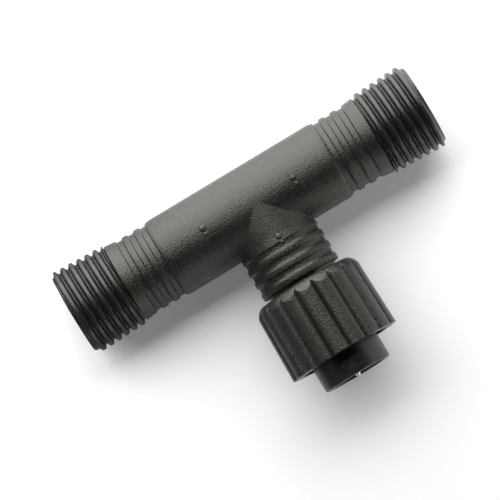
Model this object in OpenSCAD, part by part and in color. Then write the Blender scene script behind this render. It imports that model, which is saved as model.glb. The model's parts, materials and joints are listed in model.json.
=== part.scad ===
// Outdoor low-voltage cable tee: two threaded socket outlets on the run, and a plug with a
// captive union nut on the branch. Millimetres. The run lies along X and the branch along -Y.

/* [Body] */
// Branch axis to the end face of the left outlet
run_left = 46.4; // [44:0.1:60]
// Branch axis to the end face of the right outlet
run_right = 42.6; // [41:0.1:60]
// Run axis to the end face of the branch's last ring
neck_reach = 19.1; // [18:0.1:26]
// Diameter of the run and of the branch where they cross
body_d = 18.4; // [18:0.1:20]
// How much smaller the branch's radius is than the run's, so that their mitre stays a clean edge
mitre_step = 0.02; // [0.01:0.01:0.1]
// Diameter of the three stems and of the core that the body is moulded over
stem_d = 15.2; // [14.6:0.1:15.4]

/* [Grip rings] */
// Grooves at each end of the body
groove_count = 3; // [1:1:3]
// Distance from one groove to the next
groove_pitch = 2.9; // [2.4:0.1:3]
// Width of a groove at half its depth
groove_w = 1.4; // [0.8:0.1:1.8]
// Depth of a groove below its rings
groove_depth = 0.42; // [0.2:0.02:0.5]
// Length of a groove's sloped wall
groove_slope = 0.4; // [0.1:0.05:0.6]
// Diameter of the rings between the run's grooves
run_ring_d = 17.9; // [17.6:0.1:18.6]
// Diameter of the rings on the branch
branch_ring_d = 18.7; // [18:0.1:20]
// Width of the branch's last ring
neck_ring_w = 1.75; // [1:0.05:3]
// Width of the plain land between each thread and the first groove
land_w = 2.8; // [1.5:0.1:5]
// Diameter of that land at the thread
land_d = 18.6; // [18:0.1:20]

/* [Moulded marks] */
// Diameter of the three raised pips on the body
pip_d = 0.9; // [0.5:0.1:2]
// Height of a pip
pip_h = 0.25; // [0.1:0.05:0.5]
// Branch axis to the left pip
pip_left = 12.6; // [10:0.1:18]
// Branch axis to the right pip
pip_right = 9.7; // [9:0.1:15]
// Run axis to the pip on the branch
pip_branch = 9.4; // [9:0.1:10]

/* [Outlet thread] */
// Crest diameter of the outlet's thread
thread_d = 20; // [19.4:0.1:21]
// Pitch of the thread
thread_pitch = 2; // [1.5:0.1:3]
// Depth of the thread
thread_depth = 0.75; // [0.4:0.05:0.8]
// Length of the outlet outside the body
outlet_len = 13.2; // [13:0.1:18]
// Plain length before the thread starts
thread_lead = 0.8; // [0.5:0.1:2]
// Plain length behind the thread
thread_relief = 0.6; // [0.3:0.1:2]
// Gap between the nut's thread and an outlet's thread
thread_gap = 0.2; // [0.1:0.05:0.3]
// Width of the chamfer on the outside of the outlet's end
outlet_chamfer = 0.4; // [0.1:0.05:0.4]
// Width of the chamfer at the mouth of the outlet's socket
socket_chamfer = 0.2; // [0.1:0.05:0.3]

/* [Plug] */
// Diameter of the plug's collar
collar_d = 16; // [15.4:0.1:16.2]
// Length of the collar in front of its flange
collar_len = 12; // [11.4:0.1:12.4]
// Wall of the collar
collar_wall = 1.5; // [1:0.1:2]
// Depth of the collar's hollow
collar_depth = 9.5; // [8:0.1:10]
// Rounding of the collar's rim
rim_r = 0.35; // [0.1:0.05:0.6]
// Diameter of the plug's neck inside the nut
neck_d = 16.3; // [15.8:0.1:16.6]
// Diameter of the flange that keeps the nut on
flange_d = 18.2; // [17.8:0.1:18.4]
// Thickness of the flange
flange_t = 1.8; // [1:0.1:3]
// Length of the stem that anchors the plug in the body
plug_stem_len = 6.6; // [5.4:0.1:7.5]
// Width of the polarising key
key_w = 1.6; // [1:0.1:2.4]
// Height of the polarising key
key_h = 1; // [0.6:0.1:1.3]
// Distance from the collar's rim to the start of the key
key_setback = 1; // [0.5:0.1:3]

/* [Seal] */
// Thickness of the rubber ring's section
seal_d = 1.5; // [1.2:0.05:1.6]
// How far the groove under the ring is cut into the collar
seal_sink = 0.3; // [0.1:0.05:0.5]
// How far a mated outlet squeezes the ring
seal_squeeze = 0.3; // [0.1:0.05:0.5]

/* [Union nut] */
// Length of the nut
nut_len = 17.4; // [16:0.1:22]
// Diameter of the nut over its lobes at the rear
nut_rear_d = 25.2; // [24.4:0.1:28]
// Diameter of the nut over its lobes at the open end
nut_front_d = 26; // [24.6:0.1:29]
// Thickness of the nut's rear wall
nut_wall = 3; // [2:0.1:4]
// Gap between the nut and the body's last ring at rest
nut_rest_gap = 1.05; // [0.6:0.05:1.5]
// How far the nut slides forward on the plug
nut_travel = 5; // [3:0.1:7]
// Radial width of the rounded rear shoulder
shoulder_w = 1.6; // [0.8:0.1:2]
// Length of the rounded rear shoulder
shoulder_h = 2.2; // [1:0.1:3]
// Radius of the rounded rear shoulder
shoulder_r = 4.1; // [3:0.1:8]
// Width of the chamfer at the nut's mouth
mouth_chamfer = 0.9; // [0.3:0.1:1]
// Grooves round the nut
flute_count = 18; // [12:1:24]
// Diameter of the cutter that makes a groove
flute_d = 2.2; // [1.2:0.1:2.6]
// Depth of a groove at the nut's rear
flute_depth = 0.6; // [0.3:0.05:0.7]
// Turn of the nut at rest
nut_turn = 5; // [0:1:20]
// Thickness of the slip washer
washer_t = 0.8; // [0.5:0.1:1.5]
// Width of the slip washer
washer_w = 1; // [0.6:0.05:1.1]

/* [Contacts and wires] */
// Distance between the two poles
pole_spacing = 5.2; // [4.6:0.1:6]
// Diameter of a plug pin
pin_d = 1.6; // [1.2:0.1:1.8]
// How far a pin stands out of the collar's rim
pin_proud = 0.3; // [0.1:0.05:1]
// Length of a pin's rounded tip
pin_tip = 0.8; // [0.4:0.1:1.2]
// Diameter of a contact, and of a pin inside its carrier
contact_d = 2.8; // [2.6:0.1:3]
// Diameter of the shoulder that stops a contact in its carrier
contact_stop_d = 3.4; // [3.3:0.1:3.8]
// Thickness of that shoulder
contact_stop_t = 1.5; // [0.8:0.1:2]
// Width of the slots in a socket contact
contact_slot_w = 0.4; // [0.2:0.05:0.6]
// Length of the slots in a socket contact
contact_slot_len = 7; // [4:0.5:8]
// Length of the crimped tail behind a carrier
tail_len = 4; // [3.4:0.1:5]
// Diameter of an insulated wire
wire_d = 2.2; // [1.8:0.1:2.6]
// Diameter of a wire's stripped end
wire_core_d = 1.4; // [1:0.1:1.6]
// Length of a wire's stripped end
strip_len = 3; // [1.5:0.1:3.2]
// Diameter of a splice barrel
splice_d = 2.8; // [2.4:0.1:3]
// Length of a splice barrel
splice_len = 8; // [7:0.1:10]

/* [Carriers] */
// Length of the stem that anchors an outlet in the body
socket_stem_len = 10.8; // [8:0.1:11]
// Thickness of a carrier's rear flange
carrier_flange_t = 1.2; // [0.8:0.1:2]
// Diameter of a carrier's rear flange
carrier_flange_d = 14.8; // [14.2:0.1:15]
// Thickness of the carrier's wall in front of a contact
carrier_front_t = 0.5; // [0.3:0.1:1]
// Thickness of the pin carrier's wall at the bottom of the collar
pin_wall = 2; // [1:0.1:3]
// Width of the groove that locks a stem in the body
lock_w = 2.4; // [1.5:0.1:3.2]
// Depth of the groove that locks a stem in the body
lock_depth = 0.5; // [0.2:0.05:0.6]

/* [Fits] */
// Gap between pieces that are seated in each other
seat_gap = 0.02; // [0.01:0.01:0.05]
// Gap between the nut and the plug's neck
nut_gap = 0.3; // [0.2:0.05:0.35]
// Gap between the slip washer and what it slides on
washer_gap = 0.1; // [0.05:0.01:0.15]
// Gap between a plug's collar and an outlet's socket
collar_gap = 0.2; // [0.1:0.05:0.3]
// Gap between a plug's collar and an outlet's boss
boss_gap = 0.3; // [0.2:0.05:0.5]
// Gap at the bottom of a mated socket
tip_gap = 0.4; // [0.2:0.1:0.6]
// Gap between a pin and the contact or hole that it enters
pin_gap = 0.02; // [0.01:0.01:0.05]

/* [Hidden] */
$fn = 64;

// Overshoot of a cut beyond the face that it opens
cut = 1;
// Rows per pitch and columns per turn of a thread's surface
thread_rows = 6;
thread_cols = 32;
// How broad a thread's crests are: at 1 they are as broad as its grooves
thread_breadth = 1.5;
// Turns over which a thread fades out at each end
thread_fade_turns = 0.5;
// How deep a thread's surface is rooted in the wall that carries it
thread_root = 0.4;
// How far that wall stays below the thread's floor
thread_skin = 0.05;

body_r = body_d / 2;
branch_r = body_r - mitre_step;
stem_r = stem_d / 2;
branch_stem_r = stem_r - mitre_step;
collar_r = collar_d / 2;
hollow_r = collar_r - collar_wall;
neck_r = neck_d / 2;
flange_r = flange_d / 2;
crest_r = thread_d / 2;
root_r = crest_r - thread_depth;
pole_offset = pole_spacing / 2;

// Stations along an outlet, measured from its end face into the body
seal_t = seal_d - seal_squeeze;
socket_r = collar_r + collar_gap;
socket_depth = collar_len - seal_t + tip_gap;
boss_r = hollow_r - boss_gap;
boss_recess = collar_len - collar_depth - seal_t + tip_gap;
socket_stem_end = outlet_len + socket_stem_len;
socket_carrier_end = socket_stem_end + carrier_flange_t;
contact_end = socket_carrier_end + tail_len;
pin_reach = collar_len - seal_t + pin_proud;
contact_depth = pin_reach + tip_gap;

// Stations along the branch, measured from the run's axis
plug_stem_start = neck_reach - plug_stem_len;
pin_carrier_start = plug_stem_start - carrier_flange_t;
pin_start = pin_carrier_start - tail_len;
nut_rear = neck_reach + nut_rest_gap;
washer_rear = nut_rear + nut_wall + washer_gap;
flange_rear = washer_rear + washer_t + nut_travel + washer_gap;
flange_front = flange_rear + flange_t;
collar_root = flange_front + seal_d + 2 * seat_gap;
collar_tip = flange_front + collar_len;
hollow_floor = collar_tip - collar_depth;
pin_end = collar_tip + pin_proud;

// Middle of the part's box, which is the origin of its frame
box_middle = [(run_right - run_left) / 2, (crest_r - pin_end) / 2, 0];

module in_frame() { translate(-box_middle) children(); }
module at_left_outlet() { translate([-run_left, 0, 0]) rotate([0, 90, 0]) children(); }
module at_right_outlet() { translate([run_right, 0, 0]) rotate([0, -90, 0]) children(); }
module at_branch() { rotate([90, 0, 0]) children(); }
module at_positive() { translate([0, 0, pole_offset]) children(); }
module at_negative() { translate([0, 0, -pole_offset]) children(); }
module at_poles() { for (side = [-1, 1]) translate([side * pole_offset, 0, 0]) children(); }

// Outline of a row of grooves: [radius, distance] points from the first groove's near edge
function groove_points(start, ring_r) = [
  for (i = [0 : groove_count - 1])
    let (middle = start + groove_w / 2 + i * groove_pitch)
    for (corner = [[-1, 1], [-1, -1], [1, -1], [1, 1]])
      let (half = groove_w / 2 + corner[1] * groove_slope / 2)
      [ring_r - (corner[1] < 0 ? groove_depth : 0), middle + corner[0] * half]
];
groove_span = (groove_count - 1) * groove_pitch + groove_w;

// Outline of one end of the run, from the outlet inwards
run_end_points = concat(
  [[0, outlet_len], [land_d / 2, outlet_len]],
  groove_points(outlet_len + land_w, run_ring_d / 2),
  [[body_r, outlet_len + land_w + groove_span + groove_slope]]
);
// Outline of the branch, from the run's axis to its last ring
branch_groove_start = neck_reach - neck_ring_w - groove_span;
branch_ring_start = branch_groove_start - groove_w;
branch_points = concat(
  [[0, 0], [branch_r, 0], [branch_r, branch_ring_start - groove_slope]],
  [[branch_ring_d / 2, branch_ring_start]],
  groove_points(branch_groove_start, branch_ring_d / 2),
  [[branch_ring_d / 2, neck_reach], [0, neck_reach]]
);
// The same outline seen from the other end of a piece of the given length
function mirrored(points, length) = [
  for (i = [len(points) - 1 : -1 : 0]) [points[i][0], length - points[i][1]]
];

// Outline of a stem with its locking groove, grown by a gap for the bore that it fills
function stem_points(start, end, r, gap) = let (middle = (start + end) / 2, half = lock_w / 2 - gap) [
  [r + gap, start],
  [r + gap, middle - half],
  [r + gap - lock_depth, middle - half],
  [r + gap - lock_depth, middle + half],
  [r + gap, middle + half],
  [r + gap, end]
];
// Outlines of the two bores that the stems and the core fill
run_len = run_left + run_right;
run_bore_end_points = concat(
  [[0, outlet_len - cut], [stem_r + seat_gap, outlet_len - cut]],
  stem_points(outlet_len, socket_stem_end, stem_r, seat_gap)
);
branch_bore_points = concat(
  [[0, 0], [branch_stem_r + seat_gap, 0]],
  stem_points(plug_stem_start, neck_reach, branch_stem_r, seat_gap),
  [[branch_stem_r + seat_gap, neck_reach + cut], [0, neck_reach + cut]]
);

// Height of a round-form thread at a point of its pitch, from 0 in the groove to 1 on the crest
function thread_lift(turn) = 1 - pow((1 - cos(360 * turn)) / 2, thread_breadth);
// Share of its height that a thread has near its two ends
function thread_fade(z, start, end) =
  max(0, min(1, min(z - start, end - z) / (thread_pitch * thread_fade_turns)));

// Right-handed thread on a sleeve: floor_r in the groove, top_r on the crest, hidden_r in the wall
module thread_sleeve(start, end, floor_r, top_r, hidden_r) {
  rows = ceil((end - start) / thread_pitch * thread_rows);
  function at(r, a, z) = [r * cos(a), r * sin(a), z];
  skin = [
    for (i = [0 : rows])
      let (z = start + (end - start) * i / rows)
      for (j = [0 : thread_cols - 1])
        let (a = 360 * j / thread_cols)
        let (lift = thread_lift(z / thread_pitch - a / 360) * thread_fade(z, start, end))
        at(floor_r + (top_r - floor_r) * lift, a, z)
  ];
  back = [for (z = [start, end]) for (j = [0 : thread_cols - 1]) at(hidden_r, 360 * j / thread_cols, z)];
  first = (rows + 1) * thread_cols;
  faces = [
    for (j = [0 : thread_cols - 1])
      let (k = (j + 1) % thread_cols, top = rows * thread_cols, low = first, high = first + thread_cols)
      for (f = concat(
        [for (i = [0 : rows - 1]) let (a = i * thread_cols, b = a + thread_cols) [a + j, b + j, b + k]],
        [for (i = [0 : rows - 1]) let (a = i * thread_cols, b = a + thread_cols) [a + j, b + k, a + k]],
        [[j, k, low + k], [j, low + k, low + j]],
        [[top + k, top + j, high + j], [top + k, high + j, high + k]],
        [[low + j, low + k, high + k], [low + j, high + k, high + j]]
      )) f
  ];
  inward = hidden_r > floor_r;
  polyhedron(
    points = concat(skin, back),
    faces = inward ? [for (f = faces) [f[2], f[1], f[0]]] : faces
  );
}

module tee_body() {
  color("#35363a") difference() {
    union() {
      at_left_outlet() rotate_extrude()
        polygon(concat(run_end_points, mirrored(run_end_points, run_len)));
      at_branch() rotate_extrude() polygon(branch_points);
      for (x = [-pip_left, pip_right])
        translate([x, 0, 0]) cylinder(d = pip_d, h = body_r + pip_h);
      translate([0, -pip_branch, 0]) cylinder(d = pip_d, h = branch_ring_d / 2 + pip_h);
    }
    at_left_outlet() rotate_extrude()
      polygon(concat(run_bore_end_points, mirrored(run_bore_end_points, run_len)));
    at_branch() rotate_extrude() polygon(branch_bore_points);
  }
}

module splice_core() {
  channel_d = max(contact_d, splice_d, wire_d) + 2 * seat_gap;
  core_len = run_len - 2 * socket_carrier_end;
  color("#8c8f86") difference() {
    union() {
      at_left_outlet() translate([0, 0, socket_carrier_end]) cylinder(r = stem_r, h = core_len);
      at_branch() cylinder(r = branch_stem_r, h = pin_carrier_start);
    }
    for (side = [-1, 1]) translate([0, 0, side * pole_offset]) {
      at_left_outlet() translate([0, 0, socket_carrier_end - cut])
        cylinder(d = channel_d, h = core_len + 2 * cut);
      at_branch() cylinder(d = channel_d - 2 * mitre_step, h = pin_carrier_start + cut);
    }
  }
}

module socket_shell() {
  lead_r = root_r - thread_skin;
  mouth_r = socket_r + socket_chamfer;
  color("#232426") difference() {
    union() {
      rotate_extrude() polygon(concat(
        [[0, 0], [lead_r - outlet_chamfer, 0], [lead_r, outlet_chamfer], [lead_r, outlet_len]],
        stem_points(outlet_len, socket_stem_end, stem_r, 0),
        [[0, socket_stem_end]]
      ));
      thread_sleeve(thread_lead, outlet_len - thread_relief, root_r, crest_r, lead_r - thread_root);
    }
    translate([0, 0, -cut]) cylinder(r = socket_r, h = socket_depth + cut);
    translate([0, 0, -cut]) cylinder(r1 = mouth_r + cut, r2 = socket_r, h = socket_chamfer + cut);
    cylinder(r = boss_r + seat_gap, h = socket_stem_end + cut);
  }
}

// Hole that takes a contact from the rear of its carrier, with a seat for its shoulder
module contact_hole(front, rear) {
  translate([0, 0, front]) cylinder(d = contact_d + 2 * seat_gap, h = rear - front + cut);
  translate([0, 0, rear - contact_stop_t])
    cylinder(d = contact_stop_d + 2 * seat_gap, h = contact_stop_t + cut);
}

// key_side is the side of the run on which the boss takes a plug's key: 1 for +Y, -1 for -Y
module contact_carrier(key_side) {
  color("#1b1c1d") difference() {
    union() {
      translate([0, 0, boss_recess]) cylinder(r = boss_r, h = socket_stem_end - boss_recess);
      translate([0, 0, socket_stem_end]) cylinder(d = carrier_flange_d, h = carrier_flange_t);
    }
    at_poles() {
      translate([0, 0, boss_recess - cut])
        cylinder(d = pin_d + 2 * boss_gap, h = carrier_front_t + 2 * cut);
      contact_hole(boss_recess + carrier_front_t, socket_carrier_end);
    }
    translate([-key_w / 2 - boss_gap, 0, boss_recess - cut])
      mirror([0, key_side < 0 ? 1 : 0, 0])
        translate([0, hollow_r - key_h - boss_gap, 0])
          cube([key_w + 2 * boss_gap, key_h + boss_gap, collar_depth + cut]);
  }
}

// Crimped tail and shoulder that socket contacts and pins share, from the tail's end forwards
module contact_tail() {
  difference() {
    union() {
      cylinder(d = contact_d, h = tail_len + contact_stop_t);
      translate([0, 0, tail_len]) cylinder(d = contact_stop_d, h = contact_stop_t - seat_gap);
    }
    translate([0, 0, -cut]) cylinder(d = wire_core_d + 2 * seat_gap, h = strip_len + seat_gap + cut);
  }
}

module socket_contact() {
  front = boss_recess + carrier_front_t;
  color("#c9a24a") union() {
    translate([0, 0, contact_end]) mirror([0, 0, 1]) contact_tail();
    difference() {
      translate([0, 0, front]) cylinder(d = contact_d, h = socket_carrier_end - contact_stop_t - front);
      translate([0, 0, front - cut]) cylinder(d = pin_d + 2 * pin_gap, h = contact_depth - front + cut);
      translate([-contact_slot_w / 2, -contact_d, front - cut])
        cube([contact_slot_w, 2 * contact_d, contact_slot_len + cut]);
    }
  }
}

module plug_shell() {
  color("#1e1f20") union() {
    rotate_extrude() difference() {
      polygon(concat(
        [[hollow_r, plug_stem_start]],
        stem_points(plug_stem_start, neck_reach, branch_stem_r, 0),
        [
          [neck_r, neck_reach], [neck_r, flange_rear], [flange_r, flange_rear], [flange_r, flange_front],
          [collar_r - seal_sink, flange_front], [collar_r - seal_sink, collar_root],
          [collar_r, collar_root], [collar_r, collar_tip], [hollow_r, collar_tip]
        ]
      ));
      difference() {
        translate([collar_r - rim_r, collar_tip - rim_r]) square(rim_r + cut);
        translate([collar_r - rim_r, collar_tip - rim_r]) circle(rim_r);
      }
    }
    translate([hollow_r - key_h, -key_w / 2, hollow_floor + seat_gap])
      cube([key_h + collar_wall / 2, key_w, collar_depth - key_setback - seat_gap]);
  }
}

module pin_carrier() {
  color("#1b1c1d") difference() {
    union() {
      translate([0, 0, plug_stem_start])
        cylinder(r = hollow_r - seat_gap, h = hollow_floor - plug_stem_start);
      translate([0, 0, pin_carrier_start]) cylinder(d = carrier_flange_d, h = carrier_flange_t);
    }
    for (side = [-1, 1]) translate([0, side * pole_offset, 0]) {
      cylinder(d = pin_d + 2 * pin_gap, h = hollow_floor + cut);
      mirror([0, 0, 1]) contact_hole(pin_wall - hollow_floor, -pin_carrier_start);
    }
  }
}

module plug_pin() {
  body_end = hollow_floor - pin_wall;
  color("#d8c49a") union() {
    translate([0, 0, pin_start]) contact_tail();
    translate([0, 0, pin_start + tail_len])
      cylinder(d = contact_d, h = body_end - pin_start - tail_len);
    translate([0, 0, body_end - contact_stop_t])
      cylinder(d = pin_d, h = pin_end - pin_tip - body_end + contact_stop_t);
    translate([0, 0, pin_end - pin_tip]) cylinder(d1 = pin_d, d2 = pin_d / 2, h = pin_tip);
  }
}

module plug_seal() {
  color("#2b2b2b") translate([0, 0, flange_front + seal_d / 2 + seat_gap])
    rotate_extrude() translate([collar_r - seal_sink + seal_d / 2 + seat_gap, 0]) circle(d = seal_d);
}

module nut_slip_washer() {
  color("#d9d9d2") translate([0, 0, washer_rear]) difference() {
    cylinder(r = neck_r + washer_gap + washer_w, h = washer_t);
    translate([0, 0, -cut]) cylinder(r = neck_r + washer_gap, h = washer_t + 2 * cut);
  }
}

module union_nut() {
  rear_r = nut_rear_d / 2;
  front_r = nut_front_d / 2;
  hole_r = neck_r + nut_gap;
  bore_r = crest_r + thread_gap + thread_skin;
  // Middle of the shoulder's arc, which passes through both ends of the shoulder
  chord = norm([shoulder_w, shoulder_h]);
  inset = sqrt(pow(shoulder_r, 2) - pow(chord / 2, 2));
  arc_middle = [
    rear_r - shoulder_w / 2 - inset * shoulder_h / chord,
    shoulder_h / 2 + inset * shoulder_w / chord
  ];
  color("#303133") translate([0, 0, nut_rear]) union() {
    difference() {
      rotate_extrude() difference() {
        polygon([
          [hole_r, 0], [rear_r, 0], [front_r, nut_len], [bore_r + mouth_chamfer, nut_len],
          [bore_r, nut_len - mouth_chamfer], [bore_r, nut_wall], [hole_r, nut_wall]
        ]);
        difference() {
          translate([rear_r - shoulder_w, -cut]) square([shoulder_w + cut, shoulder_h + cut]);
          translate(arc_middle) circle(shoulder_r);
        }
      }
      // The first groove lies nut_turn from the top, towards +X
      for (i = [0 : flute_count - 1])
        rotate(90 - nut_turn + i * 360 / flute_count)
          translate([rear_r - flute_depth + flute_d / 2, 0, -cut])
            cylinder(d = flute_d, h = nut_len + 2 * cut);
    }
    thread_sleeve(
      nut_wall + thread_pitch, nut_len - mouth_chamfer - thread_relief,
      crest_r + thread_gap, root_r + thread_gap, bore_r + thread_root
    );
  }
}

// Wire whose jacket runs from start to end, with its stripped ends inside the barrels
module wire(start, end, start_strip) {
  translate([0, 0, start]) cylinder(d = wire_d, h = end - start);
  translate([0, 0, start - start_strip])
    cylinder(d = wire_core_d, h = start_strip + end - start + strip_len);
}

module run_wire(arm) { wire(contact_end + seat_gap, arm - splice_len / 2 - seat_gap, strip_len); }
module left_wire() { at_left_outlet() run_wire(run_left); }
module right_wire() { at_right_outlet() run_wire(run_right); }

// It is stripped as far as the middle of the splice that it joins
module branch_wire() {
  start = splice_d / 2 + seat_gap;
  at_branch() wire(start, pin_start - seat_gap, start);
}

module splice() {
  color("#b87333") difference() {
    rotate([0, 90, 0]) cylinder(d = splice_d, h = splice_len, center = true);
    for (side = [-1, 1]) rotate([0, side * 90, 0])
      translate([0, 0, splice_len / 2 - strip_len - seat_gap])
        cylinder(d = wire_core_d + 2 * seat_gap, h = strip_len + seat_gap + cut);
    at_branch() cylinder(d = wire_core_d + 2 * seat_gap, h = splice_d);
  }
}

module positive_jacket() { color("#7a1f1f") at_positive() children(); }
module negative_jacket() { color("#20242c") at_negative() children(); }
module left_contact() { at_left_outlet() socket_contact(); }
module right_contact() { at_right_outlet() socket_contact(); }

in_frame() tee_body();
in_frame() splice_core();
in_frame() at_left_outlet() socket_shell();  // left_socket_shell
in_frame() at_right_outlet() socket_shell();  // right_socket_shell
in_frame() at_left_outlet() contact_carrier(1);  // left_contact_carrier
in_frame() at_right_outlet() contact_carrier(-1);  // right_contact_carrier
in_frame() at_positive() left_contact();  // left_positive_contact
in_frame() at_negative() left_contact();  // left_negative_contact
in_frame() at_positive() right_contact();  // right_positive_contact
in_frame() at_negative() right_contact();  // right_negative_contact
in_frame() at_branch() plug_shell();
in_frame() at_branch() pin_carrier();
in_frame() at_positive() at_branch() plug_pin();  // positive_pin
in_frame() at_negative() at_branch() plug_pin();  // negative_pin
in_frame() at_branch() plug_seal();
in_frame() at_branch() nut_slip_washer();
in_frame() at_branch() union_nut();
in_frame() positive_jacket() left_wire();  // positive_left_wire
in_frame() positive_jacket() right_wire();  // positive_right_wire
in_frame() positive_jacket() branch_wire();  // positive_branch_wire
in_frame() negative_jacket() left_wire();  // negative_left_wire
in_frame() negative_jacket() right_wire();  // negative_right_wire
in_frame() negative_jacket() branch_wire();  // negative_branch_wire
in_frame() at_positive() splice();  // positive_splice
in_frame() at_negative() splice();  // negative_splice
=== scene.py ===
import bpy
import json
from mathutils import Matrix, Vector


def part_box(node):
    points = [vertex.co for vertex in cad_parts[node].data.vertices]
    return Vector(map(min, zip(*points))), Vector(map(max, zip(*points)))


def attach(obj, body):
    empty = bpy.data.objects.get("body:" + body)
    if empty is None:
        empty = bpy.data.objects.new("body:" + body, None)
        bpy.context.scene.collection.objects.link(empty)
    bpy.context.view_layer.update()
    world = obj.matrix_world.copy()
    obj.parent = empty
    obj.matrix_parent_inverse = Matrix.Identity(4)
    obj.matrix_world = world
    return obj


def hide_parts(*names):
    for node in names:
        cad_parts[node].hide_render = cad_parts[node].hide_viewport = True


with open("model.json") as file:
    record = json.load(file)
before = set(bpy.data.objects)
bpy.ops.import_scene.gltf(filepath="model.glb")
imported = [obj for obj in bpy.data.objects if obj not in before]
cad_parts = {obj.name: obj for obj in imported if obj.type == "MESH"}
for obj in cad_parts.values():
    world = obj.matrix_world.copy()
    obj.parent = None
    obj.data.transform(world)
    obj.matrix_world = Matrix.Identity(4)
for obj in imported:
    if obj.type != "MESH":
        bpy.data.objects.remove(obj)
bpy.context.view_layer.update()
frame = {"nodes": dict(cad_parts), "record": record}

import json
import math

import bpy
from mathutils import Vector

mm = 0.001
bpy.context.scene.view_settings.view_transform = "Standard"

# lines and ends of the tee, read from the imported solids
bodyLow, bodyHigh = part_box("tee_body")
nutLow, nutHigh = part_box("union_nut")
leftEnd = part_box("left_socket_shell")[0].x
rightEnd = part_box("right_socket_shell")[1].x
runLine = sum(corner.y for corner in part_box("left_socket_shell")) / 2
branchLine = (nutLow.x + nutHigh.x) / 2
crossing = Vector((branchLine, runLine, 0))
bodyLength = (bodyHigh.x - bodyLow.x) / mm
branchReach = (runLine - bodyLow.y) / mm

# the three ways in which pieces are turned: along the run from either end, and out along the branch
toRight = {"way": Vector((1, 0, 0)), "roll": (0, math.pi / 2, 0)}
toLeft = {"way": Vector((-1, 0, 0)), "roll": (0, -math.pi / 2, 0)}
toPlug = {"way": Vector((0, -1, 0)), "roll": (math.pi / 2, 0, 0)}
print("frame loaded,", len(frame["nodes"]), "nodes")


# shader wiring

class Wire:
    def __init__(self, tree, socket=None):
        self.tree = tree
        self.socket = socket

    def node(self, kind, settings=None, sockets=None, out=0):
        made = self.tree.nodes.new(kind)
        for key, value in (settings or {}).items():
            setattr(made, key, value)
        for key, value in (sockets or {}).items():
            if isinstance(value, Wire):
                self.tree.links.new(value.socket, made.inputs[key])
            else:
                made.inputs[key].default_value = value
        return Wire(self.tree, made.outputs[out] if made.outputs else None)

    def maths(self, operation, first, second):
        return self.node("ShaderNodeMath", {"operation": operation}, {0: first, 1: second})

    def __add__(self, other):
        return self.maths("ADD", self, other)

    def __radd__(self, other):
        return self.maths("ADD", other, self)

    def __sub__(self, other):
        return self.maths("SUBTRACT", self, other)

    def __rsub__(self, other):
        return self.maths("SUBTRACT", other, self)

    def __mul__(self, other):
        return self.maths("MULTIPLY", self, other)

    def __rmul__(self, other):
        return self.maths("MULTIPLY", other, self)

    def most(self, other):
        return self.maths("MAXIMUM", self, other)

    def size(self):
        return self.maths("ABSOLUTE", self, 0.0)

    def spread(self, span, low, high):
        ends = {1: span[0], 2: span[1], 3: low, 4: high}
        return self.node("ShaderNodeMapRange", {"clamp": True}, {0: self, **ends})

    def around(self, span, middle, vary):
        return self.spread(span, middle - vary, middle + vary)

    def speckle(self, place, size, detail=2.0, roughness=0.5):
        sockets = {"Vector": place, "Scale": 1 / (size * mm), "Detail": detail, "Roughness": roughness}
        return self.node("ShaderNodeTexNoise", {}, sockets)

    def stretch(self, place, scale):
        return self.node("ShaderNodeMapping", {}, {"Vector": place, "Scale": scale})

    def axis(self, place, name):
        return self.node("ShaderNodeSeparateXYZ", {}, {0: place}, out=name)

    def grey(self, level):
        return self.node("ShaderNodeCombineColor", {}, {0: level, 1: level, 2: level})

    def blend(self, share, first, second):
        kind = {"data_type": "RGBA"}
        return self.node("ShaderNodeMix", kind, {"Factor": share, 6: first, 7: second}, out=2)

    def bump(self, height, depth, below=None):
        sockets = {"Height": height, "Distance": depth * mm, "Strength": 1.0}
        if below:
            sockets["Normal"] = below
        return self.node("ShaderNodeBump", {}, sockets)


def newFinish(slot):
    finish = bpy.data.materials.new(slot + "Finish")
    finish.use_nodes = True
    finish.node_tree.nodes.clear()
    wire = Wire(finish.node_tree)
    place = wire.node("ShaderNodeTexCoord", out="Object")
    return finish, wire, place


def closeFinish(wire, sockets):
    shader = wire.node("ShaderNodeBsdfPrincipled", {}, sockets)
    wire.node("ShaderNodeOutputMaterial", {}, {"Surface": shader})


def paint(colour):
    return (*colour, 1.0)


# moulded plastic: a grained or satin skin, cloudy flow marks and a little pale dust in the grain
# sizes and depths are in mm; a span is the stretch of the noise that is used
mouldedSkin = {
    "detail": 3.0, "grainRoughness": 0.6, "fineSize": 0.35, "fineDepth": 0.15, "fineDetail": 2.0,
    "dustSpan": (0.32, 0.48), "grainSpan": (0.3, 0.7), "cloudSpan": (0.35, 0.65),
    "vary": 0.05, "patch": 0.03, "flow": (1, 1, 1), "ior": 1.5, "sheen": (1.0, 1.0, 1.0),
}


def mouldedFinish(slot, ownLook):
    look = {**mouldedSkin, **ownLook}
    finish, wire, place = newFinish(slot)
    grain = wire.speckle(place, look["grain"], look["detail"], look["grainRoughness"])
    fine = wire.speckle(place, look["grain"] * look["fineSize"], look["fineDetail"])
    cloud = wire.speckle(wire.stretch(place, look["flow"]), look["cloud"], look["detail"])
    dust = (grain * cloud).spread(look["dustSpan"], 0.0, look["dust"])
    deep = wire.blend(cloud, paint(look["dark"]), paint(look["light"]))
    colour = wire.blend(dust, deep, paint(look["dustColour"]))
    rough = grain.around(look["grainSpan"], look["rough"], look["vary"])
    rough = rough + cloud.around(look["cloudSpan"], 0.0, look["patch"])
    normal = wire.bump(cloud, look["wave"])
    normal = wire.bump(fine, look["grainDepth"] * look["fineDepth"], normal)
    normal = wire.bump(grain, look["grainDepth"], normal)
    gloss = {"IOR": look["ior"], "Specular Tint": paint(look["sheen"])}
    closeFinish(wire, {"Base Color": colour, "Roughness": rough, "Normal": normal, **gloss})
    return finish


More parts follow.
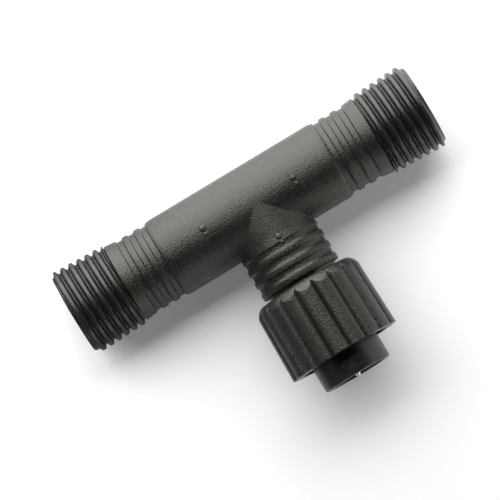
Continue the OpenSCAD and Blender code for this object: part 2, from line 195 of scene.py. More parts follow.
# drawn or turned metal, with fine lines round or along its axis and a breath of tarnish
metalSkin = {
    "lineDetail": 2.0, "stainDetail": 4.0, "lineSpan": (0.3, 0.7), "stainSpan": (0.45, 0.75),
    "stainMost": 0.7, "stainRough": 0.2, "vary": 0.08, "depth": 0.004, "stretch": (1, 1, 1),
}


def metalFinish(slot, ownLook):
    look = {**metalSkin, **ownLook}
    finish, wire, place = newFinish(slot)
    lines = wire.speckle(wire.stretch(place, look["stretch"]), look["line"], look["lineDetail"])
    stain = wire.speckle(place, look["stain"], look["stainDetail"])
    share = stain.spread(look["stainSpan"], 0.0, look["stainMost"])
    colour = wire.blend(share, paint(look["clean"]), paint(look["tarnish"]))
    rough = lines.around(look["lineSpan"], look["rough"], look["vary"]) + share * look["stainRough"]
    normal = wire.bump(lines, look["depth"])
    closeFinish(wire, {"Base Color": colour, "Roughness": rough, "Normal": normal, "Metallic": 1.0})
    return finish


# soft jackets and seals, with a pale bloom and drawn streaks
softSkin = {
    "detail": 3.0, "streakSpan": (0.3, 0.7), "bloomSpan": (0.4, 0.75), "vary": 0.06, "ior": 1.5,
    "stretch": (1, 1, 1),
}
wireJacket = {
    "bloom": 0.25, "rough": 0.42, "streak": 0.35, "cloud": 2.0, "depth": 0.006, "stretch": (0.25, 0.25, 1),
}


def softFinish(slot, ownLook):
    look = {**softSkin, **ownLook}
    finish, wire, place = newFinish(slot)
    streak = wire.speckle(wire.stretch(place, look["stretch"]), look["streak"], look["detail"])
    cloud = wire.speckle(place, look["cloud"], look["detail"])
    bloom = cloud.spread(look["bloomSpan"], 0.0, look["bloom"])
    colour = wire.blend(streak, paint(look["dark"]), paint(look["light"]))
    colour = wire.blend(bloom, colour, paint(look["bloomColour"]))
    rough = streak.around(look["streakSpan"], look["rough"], look["vary"])
    normal = wire.bump(streak, look["depth"])
    closeFinish(wire, {"Base Color": colour, "Roughness": rough, "Normal": normal, "IOR": look["ior"]})
    return finish


overmouldLook = {
    "dark": (0.006, 0.0062, 0.0055), "light": (0.010, 0.010, 0.009),
    "dustColour": (0.03, 0.03, 0.027), "dust": 0.2, "sheen": (1.0, 0.985, 0.90),
    "grain": 0.4, "grainDepth": 0.14, "cloud": 7.0, "wave": 0.08, "rough": 0.28,
}
nutLook = {
    "dark": (0.007, 0.0072, 0.0065), "light": (0.012, 0.012, 0.011),
    "dustColour": (0.04, 0.04, 0.035), "dust": 0.25, "sheen": (1.0, 0.99, 0.90),
    "grain": 0.4, "grainDepth": 0.16, "cloud": 2.5, "wave": 0.08, "rough": 0.25,
    "flow": (1, 0.2, 1), "patch": 0.06,
}
shellLook = {
    "dark": (0.0055, 0.0055, 0.0055), "light": (0.009, 0.009, 0.0085),
    "dustColour": (0.03, 0.03, 0.028), "dust": 0.15, "sheen": (1.0, 0.99, 0.95),
    "grain": 0.35, "grainDepth": 0.06, "cloud": 4.0, "wave": 0.02, "rough": 0.28, "vary": 0.04,
}
carrierLook = {
    "dark": (0.010, 0.010, 0.011), "light": (0.016, 0.016, 0.017),
    "dustColour": (0.05, 0.05, 0.05), "dust": 0.2,
    "grain": 0.35, "grainDepth": 0.02, "cloud": 3.0, "wave": 0.01, "rough": 0.42,
}
coreLook = {
    "dark": (0.25, 0.26, 0.24), "light": (0.33, 0.34, 0.31),
    "dustColour": (0.45, 0.45, 0.42), "dust": 0.3,
    "grain": 0.6, "grainDepth": 0.02, "cloud": 5.0, "wave": 0.02, "rough": 0.55, "vary": 0.06,
}
washerLook = {
    "dark": (0.66, 0.66, 0.61), "light": (0.76, 0.76, 0.71),
    "dustColour": (0.55, 0.53, 0.47), "dust": 0.3, "ior": 1.45,
    "grain": 0.25, "grainDepth": 0.006, "cloud": 3.0, "wave": 0.005, "rough": 0.4,
}
contactLook = {
    "clean": (0.94, 0.88, 0.78), "tarnish": (0.7, 0.55, 0.38), "rough": 0.2, "line": 0.25, "stain": 1.6,
}
spliceLook = {
    "clean": (0.72, 0.45, 0.28), "tarnish": (0.42, 0.25, 0.15), "rough": 0.32, "line": 0.2, "stain": 1.4,
    "stretch": (0.15, 1, 1),
}
sealLook = {
    "dark": (0.022, 0.022, 0.022), "light": (0.032, 0.032, 0.031),
    "bloomColour": (0.12, 0.12, 0.115), "bloom": 0.3,
    "rough": 0.62, "streak": 0.3, "cloud": 2.5, "depth": 0.01,
}
positiveLook = {
    **wireJacket,
    "dark": (0.28, 0.02, 0.02), "light": (0.40, 0.035, 0.03), "bloomColour": (0.5, 0.16, 0.14),
}
negativeLook = {
    **wireJacket,
    "dark": (0.022, 0.026, 0.036), "light": (0.036, 0.042, 0.055), "bloomColour": (0.12, 0.13, 0.15),
}
finishes = {
    "overmould": mouldedFinish("overmould", overmouldLook),
    "nut": mouldedFinish("nut", nutLook),
    "hard_shell": mouldedFinish("hard_shell", shellLook),
    "carrier": mouldedFinish("carrier", carrierLook),
    "core": mouldedFinish("core", coreLook),
    "washer": mouldedFinish("washer", washerLook),
    "contact": metalFinish("contact", contactLook),
    "splice": metalFinish("splice", spliceLook),
    "seal": softFinish("seal", sealLook),
    "positive_wire": softFinish("positive_wire", positiveLook),
    "negative_wire": softFinish("negative_wire", negativeLook),
}
for row in frame["record"]["subparts"]:
    solid = frame["nodes"][row["node"]]
    solid.data.materials.clear()
    solid.data.materials.append(finishes[row["material_slot"]])
print("finishes made,", len(finishes))


# modelling moves; lengths are in mm and angles in degrees

meshing = {"mergeWithin": 0.004, "near": 0.01, "smoothAngle": 32, "flatWeight": 100}


def pickOnly(*pieces):
    bpy.ops.object.select_all(action="DESELECT")
    for piece in pieces:
        piece.select_set(True)
    bpy.context.view_layer.objects.active = pieces[0]


def pickCorners(piece, wanted, mode="VERT"):
    # opens the piece in edit mode with the wanted corners picked
    pickOnly(piece)
    bpy.ops.object.mode_set(mode="EDIT")
    bpy.ops.mesh.select_mode(type="VERT")
    bpy.ops.mesh.select_all(action="DESELECT")
    bpy.ops.object.mode_set(mode="OBJECT")
    for corner in piece.data.vertices:
        corner.select = wanted(corner.co)
    bpy.ops.object.mode_set(mode="EDIT")
    bpy.ops.mesh.select_mode(type=mode)


def pickFaces(piece, wanted):
    pickOnly(piece)
    bpy.ops.object.mode_set(mode="EDIT")
    bpy.ops.mesh.select_mode(type="FACE")
    bpy.ops.mesh.select_all(action="DESELECT")
    bpy.ops.object.mode_set(mode="OBJECT")
    for face in piece.data.polygons:
        face.select = wanted(face)
    bpy.ops.object.mode_set(mode="EDIT")


def turnShell(name, foot, facing, outline, columns):
    # a ring pulled along its axis: outline points are (distance from foot, radius) in mm
    bpy.ops.object.select_all(action="DESELECT")
    way = facing["way"]
    station, radius = outline[0]
    start = foot + way * station * mm
    bpy.ops.mesh.primitive_circle_add(
        vertices=columns, radius=radius * mm, fill_type="NOTHING", location=start, rotation=facing["roll"]
    )
    shell = bpy.context.object
    shell.name = name
    shell.data.name = name
    bpy.ops.object.mode_set(mode="EDIT")
    bpy.ops.mesh.select_mode(type="VERT")
    bpy.ops.mesh.select_all(action="SELECT")
    for nextStation, nextRadius in outline[1:]:
        step = way * (nextStation - station) * mm
        grow = nextRadius / radius
        middle = foot + way * nextStation * mm
        bpy.ops.mesh.extrude_region_move(TRANSFORM_OT_translate={"value": step})
        bpy.ops.transform.resize(value=(grow, grow, grow), center_override=middle)
        station = nextStation
        radius = nextRadius
    bpy.ops.object.mode_set(mode="OBJECT")
    bpy.ops.object.transform_apply(location=True, rotation=True, scale=True)
    return shell


def joinShells(first, *others):
    pickOnly(first, *others)
    bpy.ops.object.join()
    return first


def mergeCorners(piece, outwards=True):
    pickOnly(piece)
    bpy.ops.object.mode_set(mode="EDIT")
    bpy.ops.mesh.select_all(action="SELECT")
    bpy.ops.mesh.remove_doubles(threshold=meshing["mergeWithin"] * mm)
    if outwards:
        bpy.ops.mesh.normals_make_consistent(inside=False)
    bpy.ops.object.mode_set(mode="OBJECT")


def bridgeAt(piece, wanted):
    pickCorners(piece, wanted)
    bpy.ops.mesh.bridge_edge_loops()
    bpy.ops.object.mode_set(mode="OBJECT")


def roundEdges(piece, sizes):
    bevel = piece.modifiers.new("edges", "BEVEL")
    bevel.width = sizes["edgeRound"] * mm
    bevel.segments = sizes["edgeSegments"]
    bevel.limit_method = "ANGLE"
    bevel.angle_limit = math.radians(sizes["edgeAngle"])
    pickOnly(piece)
    bpy.ops.object.modifier_apply(modifier=bevel.name)


def pushOut(piece, name, height, share):
    # moves corners along their normals by height times their share, from 0 to 1
    marks = piece.vertex_groups.new(name=name)
    for corner in piece.data.vertices:
        amount = share(corner)
        if amount > 0:
            marks.add([corner.index], amount, "REPLACE")
    push = piece.modifiers.new(name, "DISPLACE")
    push.strength = height * mm
    push.mid_level = 0
    push.vertex_group = marks.name
    pickOnly(piece)
    bpy.ops.object.modifier_apply(modifier=push.name)
    piece.vertex_groups.clear()


def seat(piece, body, slot, *nodes):
    pickOnly(piece)
    bpy.ops.object.shade_smooth_by_angle(angle=math.radians(meshing["smoothAngle"]))
    weigh = piece.modifiers.new("normals", "WEIGHTED_NORMAL")
    weigh.keep_sharp = True
    weigh.weight = meshing["flatWeight"]
    bpy.ops.object.modifier_apply(modifier=weigh.name)
    piece.data.materials.clear()
    piece.data.materials.append(finishes[slot])
    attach(piece, body)
    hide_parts(*nodes)
    print(piece.name, "seated on", body, "with", len(piece.data.polygons), "faces")


def steps(start, end, count):
    return [start + (end - start) * i / count for i in range(count + 1)]


def smooth(value):
    value = max(0.0, min(1.0, value))
    return value * value * (3 - 2 * value)


def threadStations(sizes):
    length = sizes["threadEnd"] - sizes["threadStart"]
    rows = round(length / sizes["pitch"] * sizes["rowsPerPitch"])
    return steps(sizes["threadStart"], sizes["threadEnd"], rows)


def threadShare(sizes, station, turns):
    # round form: 1 on the crest, 0 in the groove, with both half-widths as shares of the pitch
    fromEnds = min(station - sizes["threadStart"], sizes["threadEnd"] - station)
    if fromEnds <= 0:
        return 0.0
    fromCrest = abs(turns % 1 - round(turns % 1))
    flank = 0.5 - sizes["crest"] - sizes["root"]
    lift = 1 - smooth((fromCrest - sizes["crest"]) / flank)
    return lift * smooth(fromEnds / sizes["fade"])


# overmoulded tee body: two turned arms of equal radius, mitred where they meet

teeBody = {
    "columns": 256, "radius": 9.2, "bore": 7.62,
    "landRadius": 9.25, "ringRadius": 8.95, "landWidth": 2.8, "shoulder": 1.2,
    "grooves": 3, "groovePitch": 2.9, "grooveWidth": 1.4, "grooveDepth": 0.4, "runWall": (0.2, 0.2),
    "branchRing": 9.36, "branchWall": (0.24, 0.42), "lastRing": 1.55, "branchGrooveDepth": 0.38,
    "pastMitre": 0.3, "fillet": 0.25, "filletSegments": 5,
    "edgeRound": 0.06, "edgeSegments": 2, "edgeAngle": 30,
    "pipRadii": (0.85, 0.5), "pipGap": 1.3, "pipFlat": 0.6, "pipSink": 0.15,
    "pipColumns": 32, "pipRings": 24, "pipReach": 1.3, "columnAtPip": 44,
    "runPips": ((-12.6, 0.75), (9.75, 0.1)), "branchPip": (0.6, -9.2),
}


def grooveSpan():
    return (teeBody["grooves"] - 1) * teeBody["groovePitch"] + teeBody["grooveWidth"]


def grooveOutline(start, ring, walls, depth):
    points = []
    for i in range(teeBody["grooves"]):
        first = start + i * teeBody["groovePitch"]
        last = first + teeBody["grooveWidth"]
        points += [(first - walls[0] / 2, ring), (first + walls[0] / 2, ring - depth)]
        points += [(last - walls[1] / 2, ring - depth), (last + walls[1] / 2, ring)]
    return points


def pipRow():
    # a row just above the branch's moulding mark, where a column meets the mitre
    return teeBody["radius"] * math.sin(2 * math.pi * teeBody["columnAtPip"] / teeBody["columns"])


def runOutline():
    land = teeBody["landWidth"]
    oneEnd = [(0, teeBody["landRadius"])]
    oneEnd += grooveOutline(land, teeBody["ringRadius"], teeBody["runWall"], teeBody["grooveDepth"])
    oneEnd += [(land + grooveSpan() + teeBody["shoulder"], teeBody["radius"])]
    otherEnd = [(bodyLength - station, radius) for station, radius in reversed(oneEnd)]
    middle = (branchLine - bodyLow.x) / mm
    leftPip, rightPip = [middle + aside for aside, along in teeBody["runPips"]]
    reach = teeBody["pipReach"]
    rows = (leftPip - reach, leftPip + reach, middle - pipRow(), middle + pipRow(), rightPip + reach)
    return oneEnd + [(station, teeBody["radius"]) for station in rows] + otherEnd


def branchOutline():
    ring = teeBody["branchRing"]
    first = branchReach - teeBody["lastRing"] - grooveSpan()
    rows = (0, pipRow(), teeBody["radius"] + teeBody["pastMitre"])
    points = [(station, teeBody["radius"]) for station in rows]
    points += grooveOutline(first, ring, teeBody["branchWall"], teeBody["branchGrooveDepth"])
    return points + [(branchReach, ring)]


def mitreArm(arm, isBranch):
    # cuts the arm along both mitre planes and drops what belongs to the other arm
    for lean in (-1, 1):
        pickFaces(arm, lambda face: face.center.y < runLine)
        bpy.ops.mesh.bisect(plane_co=crossing, plane_no=(lean, 1, 0))
        bpy.ops.object.mode_set(mode="OBJECT")

    def belongsToBranch(face):
        return face.center.y - runLine < -abs(face.center.x - branchLine)

    pickFaces(arm, lambda face: belongsToBranch(face) != isBranch)
    bpy.ops.mesh.delete(type="FACE")
    bpy.ops.object.mode_set(mode="OBJECT")


def teeSkin(name, run, branch):
    foot = Vector((bodyLow.x, runLine, 0))
    runArm = turnShell(name, foot, toRight, run, teeBody["columns"])
    branchArm = turnShell(name + "Branch", crossing, toPlug, branch, teeBody["columns"])
    mitreArm(runArm, False)
    mitreArm(branchArm, True)
    skin = joinShells(runArm, branchArm)
    mergeCorners(skin, False)
    return skin


def onMitre(place):
    return abs(place.y - runLine + abs(place.x - branchLine)) < meshing["near"] * mm


def addPip(body, offset, radius):
    # a moulding mark: a low round stud with a domed top
    sizes = teeBody
    aside = min(offset, key=abs)
    surface = math.sqrt(sizes["radius"] ** 2 - aside ** 2) - sizes["pipSink"] * radius
    middle = crossing + Vector((*offset, surface)) * mm
    bpy.ops.object.select_all(action="DESELECT")
    bpy.ops.mesh.primitive_uv_sphere_add(
        segments=sizes["pipColumns"], ring_count=sizes["pipRings"], radius=radius * mm, location=middle
    )
    pip = bpy.context.object
    bpy.ops.object.mode_set(mode="EDIT")
    bpy.ops.mesh.select_all(action="SELECT")
    bpy.ops.transform.resize(value=(1, 1, sizes["pipFlat"]), center_override=middle)
    bpy.ops.object.mode_set(mode="OBJECT")
    bpy.ops.object.transform_apply(location=True, rotation=True, scale=True)
    weld = body.modifiers.new("pip", "BOOLEAN")
    weld.operation = "UNION"
    weld.solver = "EXACT"
    weld.object = pip
    pickOnly(body)
    bpy.ops.object.modifier_apply(modifier=weld.name)
    bpy.data.objects.remove(pip)


def makeTeeBody():
    body = teeSkin("teeBody", runOutline(), branchOutline())
    pickCorners(body, onMitre, "EDGE")
    # the narrow columns beside the mitre keep the fillet smaller than its nominal size
    bpy.ops.mesh.bevel(
        offset=teeBody["fillet"] * mm, segments=teeBody["filletSegments"],
        affect="EDGES", clamp_overlap=True,
    )
    bpy.ops.object.mode_set(mode="OBJECT")
    mergeCorners(body)
    bore = teeBody["bore"]
    inside = teeSkin("teeBore", [(0, bore), (bodyLength, bore)], [(0, bore), (branchReach, bore)])
    joinShells(body, inside)
    near = meshing["near"] * mm
    bridgeAt(body, lambda place: abs(place.x - bodyLow.x) < near)
    bridgeAt(body, lambda place: abs(place.x - bodyHigh.x) < near)
    bridgeAt(body, lambda place: abs(place.y - bodyLow.y) < near)
    mergeCorners(body)
    roundEdges(body, teeBody)
    for aside, along in (*teeBody["runPips"], teeBody["branchPip"]):
        for i, radius in enumerate(teeBody["pipRadii"]):
            addPip(body, (aside, along - i * teeBody["pipGap"]), radius)
    seat(body, "tee", "overmould", "tee_body")


makeTeeBody()


# hard socket shells with the outlet threads

socketShell = {
    "columns": 128, "mouth": 8.2, "mouthChamfer": 0.2, "endRadius": 9.0, "depth": 11.2,
    "length": 13.2, "stem": 7.6, "stemEnd": 24.0, "bossBore": 6.22,
    "rootOuter": 9.27, "rootInner": 8.77, "lift": 0.92, "pitch": 2.0, "crest": 0.13, "root": 0.02,
    "rowsPerPitch": 20, "threadStart": 0.45, "threadEnd": 13.1, "fade": 0.4,
    "leftPhase": -41.6, "rightPhase": 32.7,
}


def rootAt(station):
    share = station / socketShell["length"]
    return socketShell["rootOuter"] + (socketShell["rootInner"] - socketShell["rootOuter"]) * share


def makeSocketShell(name, end, facing, phase, node):
    sizes = socketShell
    mouth = sizes["mouth"]
    chamfer = sizes["mouthChamfer"]
    outline = [(chamfer, mouth), (0, mouth + chamfer), (0, sizes["endRadius"])]
    outline += [(station, rootAt(station)) for station in threadStations(sizes)]
    outline += [(sizes["length"], rootAt(sizes["length"])), (sizes["length"], sizes["stem"])]
    outline += [(sizes["stemEnd"], sizes["stem"]), (sizes["stemEnd"], sizes["bossBore"])]
    outline += [(sizes["depth"], sizes["bossBore"]), (sizes["depth"], mouth), (chamfer, mouth)]
    foot = Vector((end, runLine, 0))
    shell = turnShell(name, foot, facing, outline, sizes["columns"])
    mergeCorners(shell)

    def outerThread(corner):
        out = Vector((corner.co.y - runLine, corner.co.z))
        if out.length < (mouth + chamfer) * mm:
            return 0.0
        turn = math.atan2(out.y, out.x) / (2 * math.pi)
        turns = (corner.co.x / mm - phase) / sizes["pitch"] - turn
        return threadShare(sizes, abs(corner.co.x - end) / mm, turns)

    pushOut(shell, "thread", sizes["lift"], outerThread)
    seat(shell, "tee", "hard_shell", node)


makeSocketShell("leftSocketShell", leftEnd, toRight, socketShell["leftPhase"], "left_socket_shell")
makeSocketShell("rightSocketShell", rightEnd, toLeft, socketShell["rightPhase"], "right_socket_shell")


# union nut: a fluted cap with an arched shoulder and a thread inside

unionNut = {
    "flutes": 18, "columnsPerFlute": 24, "turn": 7.5,
    "length": 17.4, "rear": 12.6, "front": 13.0, "hole": 8.45, "wall": 3.0, "wallRows": 4,
    "shoulderWidth": 1.6, "shoulderLength": 2.2, "shoulderRadius": 4.1,
    "shoulderSteps": 22, "pastShoulder": 0.2,
    "notchDepth": 0.6, "lobePower": 2.5, "rootDepth": 0.32, "rootWidth": 0.6, "notchEdge": 0.04,
    "leastCut": 0.01, "leastFacing": 0.3,
    "mouth": 10.45, "mouthChamfer": 0.14, "bore": 10.25, "rimRound": 0.2, "rimSlack": 0.05,
    "lift": 0.8, "pitch": 2.0, "crest": 0.08, "root": 0.08, "rowsPerPitch": 12,
    "threadStart": 5.0, "threadEnd": 15.9, "fade": 1.0,
}


def wallAt(station):
    return unionNut["rear"] + (unionNut["front"] - unionNut["rear"]) * station / unionNut["length"]


def shoulderOutline():
    # arc through both ends of the shoulder
    wide = unionNut["shoulderWidth"]
    long = unionNut["shoulderLength"]
    radius = unionNut["shoulderRadius"]
    top = wallAt(long)
    chord = math.hypot(wide, long)
    inset = math.sqrt(radius ** 2 - chord ** 2 / 4)
    middleStation = long / 2 + inset * wide / chord
    middleRadius = top - wide / 2 - inset * long / chord
    start = math.atan2(top - wide - middleRadius, -middleStation)
    end = math.atan2(top - middleRadius, long - middleStation)
    angles = steps(start, end, unionNut["shoulderSteps"])
    return [(middleStation + radius * math.cos(a), middleRadius + radius * math.sin(a)) for a in angles]


def makeUnionNut():
    sizes = unionNut
    columns = sizes["flutes"] * sizes["columnsPerFlute"]
    foot = Vector((branchLine, nutHigh.y, 0))
    shoulder = shoulderOutline()
    rim = sizes["rimRound"]
    wallStart = shoulder[-1][0] + sizes["pastShoulder"]
    wallStations = steps(wallStart, sizes["length"] - rim, sizes["wallRows"])
    outer = [(0, sizes["hole"])] + shoulder + [(station, wallAt(station)) for station in wallStations]
    skin = turnShell("unionNut", foot, toPlug, outer, columns)
    mergeCorners(skin)

    def fluteShare(corner):
        station = (foot.y - corner.co.y) / mm
        across = Vector((corner.co.x - branchLine, corner.co.z))
        radius = across.length / mm
        turn = math.degrees(math.atan2(across.x, across.y)) - sizes["turn"]
        pitch = 360 / sizes["flutes"]
        fromLobe = abs((turn % pitch) * 2 / pitch - 1)
        fromRoot = math.radians(pitch / 2) * radius * (1 - fromLobe)
        floor = wallAt(station) - sizes["notchDepth"] * fromLobe ** sizes["lobePower"]
        floor -= sizes["rootDepth"] * smooth(1 - fromRoot / sizes["rootWidth"])
        over = radius - floor
        over = (over + math.hypot(over, sizes["notchEdge"])) / 2
        outwards = abs(corner.normal.x * across.x + corner.normal.z * across.y) / across.length
        if outwards < sizes["leastFacing"] or over < sizes["leastCut"]:
            return 0.0
        return min(1.0, over / outwards)

    pushOut(skin, "flutes", -1.0, fluteShare)
    inner = [(sizes["length"], sizes["mouth"]), (sizes["length"] - sizes["mouthChamfer"], sizes["bore"])]
    inner += [(station, sizes["bore"]) for station in reversed(threadStations(sizes))]
    inner += [(sizes["wall"], sizes["bore"]), (sizes["wall"], sizes["hole"]), (0, sizes["hole"])]
    lining = turnShell("nutLining", foot, toPlug, inner, columns)
    mergeCorners(lining)

    def innerThread(corner):
        station = (foot.y - corner.co.y) / mm
        turn = math.atan2(corner.co.z, corner.co.x - branchLine) / (2 * math.pi)
        return threadShare(sizes, station, station / sizes["pitch"] - turn)

    pushOut(lining, "innerThread", -sizes["lift"], innerThread)
    nut = joinShells(skin, lining)

    def onFront(place):
        # the skin's last row stands back by the rounding of the rim
        radius = math.hypot(place.x - branchLine, place.z) / mm
        back = rim if radius > sizes["mouth"] + rim else 0.0
        return (foot.y - place.y) / mm > sizes["length"] - back - sizes["rimSlack"]

    bridgeAt(nut, onFront)
    mergeCorners(nut)
    seat(nut, "nut", "nut", "union_nut")


makeUnionNut()


# plug shell: the neck that the nut slides on, its flange and the collar

plugShell = {
    "columns": 96, "stemStart": 12.5, "stem": 7.58, "neckStart": 19.1, "neck": 8.15,
    "flangeStart": 29.15, "flangeEnd": 30.95, "flange": 9.1, "sealSeat": 7.7,
    "collarStart": 32.49, "collar": 8.0, "tip": 43.08, "rimRound": 0.55, "rimSteps": 6,
    "hollow": 6.5, "hollowFloor": 33.47, "hollowSlack": 0.1, "mouthChamfer": 0.1,
    "keyEnd": 41.95, "keyHalfAngle": 7.6, "keyHeight": 1.0,
    "edgeRound": 0.1, "edgeSegments": 2, "edgeAngle": 40,
}


def makePlugShell():
    sizes = plugShell
    tip = sizes["tip"]
    collar = sizes["collar"]
    hollow = sizes["hollow"]
    rim = sizes["rimRound"]
    mouth = sizes["mouthChamfer"]
    outline = [(sizes["stemStart"], hollow), (sizes["stemStart"], sizes["stem"])]
    outline += [(sizes["neckStart"], sizes["stem"]), (sizes["neckStart"], sizes["neck"])]
    outline += [(sizes["flangeStart"], sizes["neck"])]
    outline += [(sizes["flangeStart"], sizes["flange"]), (sizes["flangeEnd"], sizes["flange"])]
    outline += [(sizes["flangeEnd"], sizes["sealSeat"]), (sizes["collarStart"], sizes["sealSeat"])]
    outline += [(sizes["collarStart"], collar)]
    for angle in steps(0, math.pi / 2, sizes["rimSteps"]):
        outline.append((tip - rim + rim * math.sin(angle), collar - rim + rim * math.cos(angle)))
    outline += [(tip, hollow + mouth), (tip - mouth, hollow)]
    outline += [(sizes["keyEnd"], hollow), (sizes["hollowFloor"], hollow), (sizes["stemStart"], hollow)]
    shell = turnShell("plugShell", crossing, toPlug, outline, sizes["columns"])
    mergeCorners(shell)

    def onKey(face):
        station = (runLine - face.center.y) / mm
        aside = face.center.x - branchLine
        angle = math.degrees(math.atan2(abs(face.center.z), aside))
        inside = math.hypot(aside, face.center.z) < (hollow + sizes["hollowSlack"]) * mm
        return inside and angle < sizes["keyHalfAngle"] and sizes["hollowFloor"] < station < sizes["keyEnd"]

    pickFaces(shell, onKey)
    bpy.ops.mesh.extrude_region_move(TRANSFORM_OT_translate={"value": (-sizes["keyHeight"] * mm, 0, 0)})
    bpy.ops.object.mode_set(mode="OBJECT")
    mergeCorners(shell)
    roundEdges(shell, sizes)
    seat(shell, "tee", "hard_shell", "plug_shell")


makePlugShell()


# floor, light and camera as in the photograph: straight down on a white table

# the part rests on its threads and on the nut's rim, which is lower by rise, at reach from the run
studio = {
    "rise": 3.0, "reach": 37.55, "touch": 10.0, "floorSize": 40.0, "floorCells": 4,
    "floorShade": 0.80, "floorVary": 0.01, "mottle": 60.0, "mottleSpan": (0.3, 0.7),
    "floorGlow": 0.10, "floorMirrored": 0.3,
    # the floor as seen in reflections carries painted shade, darker towards its left side
    "mirroredShadeSpan": (-0.05, -0.01), "mirroredShadeLeft": 0.85, "mirroredShadeRight": 0.05,
    "skyFoot": 0.12, "skyTop": 0.5, "skyLow": 1.25, "skyHigh": 0.0, "skySides": 0.3,
    "leftSpan": (-0.6, 0.0), "skyLeft": 0.06, "skyLeftRise": 0.6,
    "frontSpan": (-0.8, 0.0), "skyFront": 1.6,
    "softboxEdges": ((0.08, 0.27), (0.25, 0.135), (0.42, 0.0)), "softboxLevel": 5.0, "softboxWidth": 0.3,
    "wingLevel": 4.5, "wingWidth": 0.225,
    "tableNear": 0.045, "tableFar": 0.16, "tableWidth": 0.3, "tablePower": 0.2, "tableGap": 1.0,
    "aim": (-4.38, 8.865, 0.0), "right": (0.8563, -0.5165), "distance": 0.913,
    "lens": 302.4, "sensor": 36.0, "clip": (0.05, 100),
}
tilt = math.atan2(studio["rise"], studio["reach"])
upwards = Vector((0, -math.sin(tilt), math.cos(tilt)))


def makeFloor():
    bpy.ops.object.select_all(action="DESELECT")
    spot = Vector((0, runLine, 0)) - upwards * studio["touch"] * mm
    cells = studio["floorCells"]
    bpy.ops.mesh.primitive_grid_add(
        x_subdivisions=cells, y_subdivisions=cells, size=studio["floorSize"],
        location=spot, rotation=(tilt, 0, 0),
    )
    floor = bpy.context.object
    floor.name = "paleFloor"
    finish, wire, place = newFinish("floor")
    direct = wire.node("ShaderNodeLightPath", out="Is Camera Ray")
    mirrored = wire.node("ShaderNodeLightPath", out="Is Glossy Ray")
    passing = wire.node("ShaderNodeLightPath", out="Is Transmission Ray")
    seen = direct.most(passing) + mirrored * studio["floorMirrored"]
    shade = wire.speckle(place, studio["mottle"])
    shade = shade.around(studio["mottleSpan"], studio["floorShade"], studio["floorVary"])
    # painted shade: in reflections only, the floor's left side is darkened so that the parts beside it
    # mirror a darker table
    aside = wire.axis(place, "X").spread(studio["mirroredShadeSpan"], studio["mirroredShadeLeft"], studio["mirroredShadeRight"])
    shade = shade * (1 - mirrored * aside)
    matt = wire.node("ShaderNodeBsdfDiffuse", {}, {"Color": wire.grey(shade)})
    glow = wire.node("ShaderNodeEmission", {}, {"Color": wire.grey(seen), "Strength": studio["floorGlow"]})
    surface = wire.node("ShaderNodeAddShader", {}, {0: matt, 1: glow})
    below = wire.node("ShaderNodeNewGeometry", out="Backfacing")
    clear = wire.node("ShaderNodeBsdfTransparent")
    mixed = wire.node("ShaderNodeMixShader", {}, {0: below, 1: surface, 2: clear})
    wire.node("ShaderNodeOutputMaterial", {}, {"Surface": mixed})
    floor.data.materials.append(finish)


def makeWorld():
    # bright near the horizon and at the front, dim at the left and dark overhead
    world = bpy.data.worlds.new("whiteRoom")
    bpy.context.scene.world = world
    world.use_nodes = True
    world.node_tree.nodes.clear()
    wire = Wire(world.node_tree)
    place = wire.node("ShaderNodeTexCoord", out="Generated")
    aside = wire.axis(place, "X")
    front = wire.axis(place, "Y")
    height = wire.axis(place, "Z")
    raised = height - aside.size() * studio["skySides"]
    level = raised.spread((studio["skyFoot"], studio["skyTop"]), studio["skyLow"], studio["skyHigh"])
    left = height * studio["skyLeftRise"] + studio["skyLeft"]
    level = level * aside.spread(studio["leftSpan"], left, 1.0)
    level = level * front.spread(studio["frontSpan"], studio["skyFront"], 1.0)
    sky = wire.node("ShaderNodeBackground", {}, {"Color": paint((1, 1, 1)), "Strength": level})
    wire.node("ShaderNodeOutputWorld", {}, {"Surface": sky})


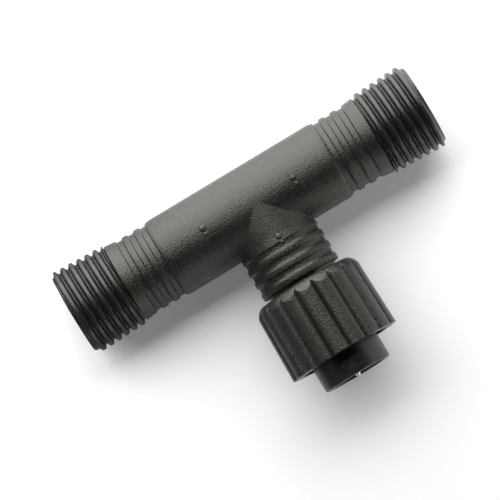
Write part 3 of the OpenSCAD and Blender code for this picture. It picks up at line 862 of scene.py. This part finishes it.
def addLamp(name, place, turn, width, depth, power):
    bpy.ops.object.light_add(type="AREA", location=place, rotation=turn)
    lamp = bpy.context.object
    lamp.name = name
    lamp.data.shape = "RECTANGLE"
    lamp.data.size = width
    lamp.data.size_y = depth
    lamp.data.energy = power
    lamp.visible_camera = False
    return lamp


def makePanel(name, offset, width, level, top, foot):
    along = Vector((0, *foot)) - Vector((0, *top))
    middle = Vector((offset, (top[0] + foot[0]) / 2, (top[1] + foot[1]) / 2))
    turn = Vector((0, along.z, -along.y)).to_track_quat("-Z", "Y").to_euler()
    power = level * math.pi * width * along.length
    return addLamp(name, middle, turn, width, along.length, power)


def makeSoftbox():
    # leans from above the run down to the table beyond it; the wings' upper halves light the table only
    width = studio["softboxWidth"]
    wing = studio["wingWidth"]
    top, half, foot = studio["softboxEdges"]
    makePanel("softboxMiddle", 0, width, studio["softboxLevel"], top, foot)
    for side, name in ((-1, "softboxLeft"), (1, "softboxRight")):
        offset = side * (width + wing) / 2
        makePanel(name, offset, wing, studio["wingLevel"], half, foot)
        upper = makePanel(name + "Upper", offset, wing, studio["wingLevel"], top, half)
        upper.visible_glossy = False


def makeTableLight():
    # the table's lit stretch beyond the run, which the run's far side mirrors
    middle = Vector((0, (studio["tableNear"] + studio["tableFar"]) / 2, 0))
    drop = (studio["touch"] - studio["tableGap"]) * mm
    middle -= upwards * (upwards.dot(middle - Vector((0, runLine, 0))) + drop)
    depth = studio["tableFar"] - studio["tableNear"]
    addLamp("tableLight", middle, (tilt + math.pi, 0, 0), studio["tableWidth"], depth, studio["tablePower"])


def makeCamera():
    aim = Vector(studio["aim"]) * mm
    right = Vector((*studio["right"], 0))
    right = (right - upwards * right.dot(upwards)).normalized()
    up = upwards.cross(right)
    bpy.ops.object.camera_add(location=aim + upwards * studio["distance"])
    camera = bpy.context.object
    camera.data.sensor_width = studio["sensor"]
    camera.data.lens = studio["lens"]
    camera.data.clip_start, camera.data.clip_end = studio["clip"]
    turn = camera.matrix_world.to_3x3()
    turn.col[0] = right
    turn.col[1] = up
    turn.col[2] = upwards
    camera.rotation_euler = turn.to_euler()
    bpy.context.scene.camera = camera


makeFloor()
makeWorld()
makeSoftbox()
makeTableLight()
makeCamera()
print("floor, light and camera set")
